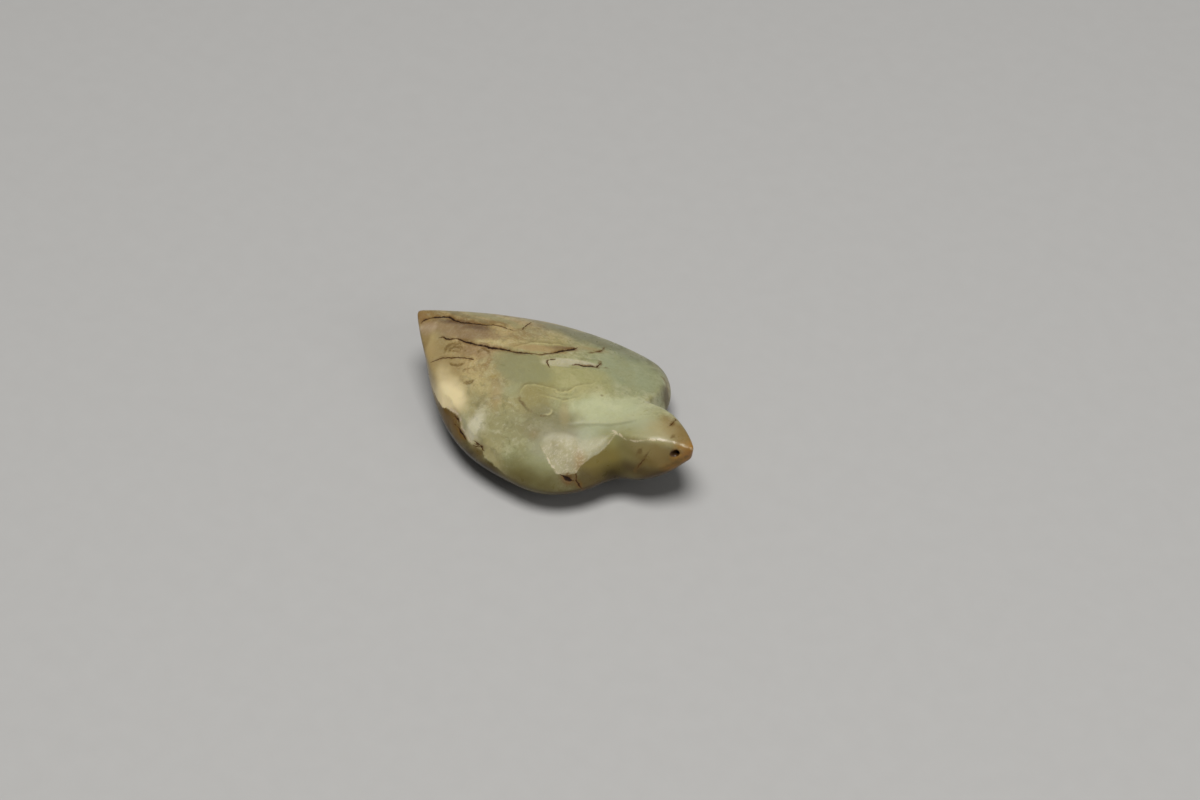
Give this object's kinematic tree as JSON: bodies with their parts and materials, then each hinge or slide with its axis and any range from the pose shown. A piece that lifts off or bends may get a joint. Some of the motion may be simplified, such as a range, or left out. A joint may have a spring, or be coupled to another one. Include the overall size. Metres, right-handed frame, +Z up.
{
  "type": "jade bird figure",
  "caption": "Small flat pebble of jade carved as a resting bird with folded wings, a leaf-shaped tail and a drilled beak, lying on its belly.",
  "frame": {"origin": "on the flat resting spot of the belly, below the middle of the figure's length", "axes": "+X from the tail tip to the beak, +Y to the bird's left, +Z up from the table"},
  "size_m": [0.0597, 0.0371, 0.0152],
  "materials": {
    "jade": "waxy polish, worn, with calcified and iron-stained patches"
  },
  "bodies": {
    "root": {"jade_bird": "jade"}
  },
  "joints": []
}
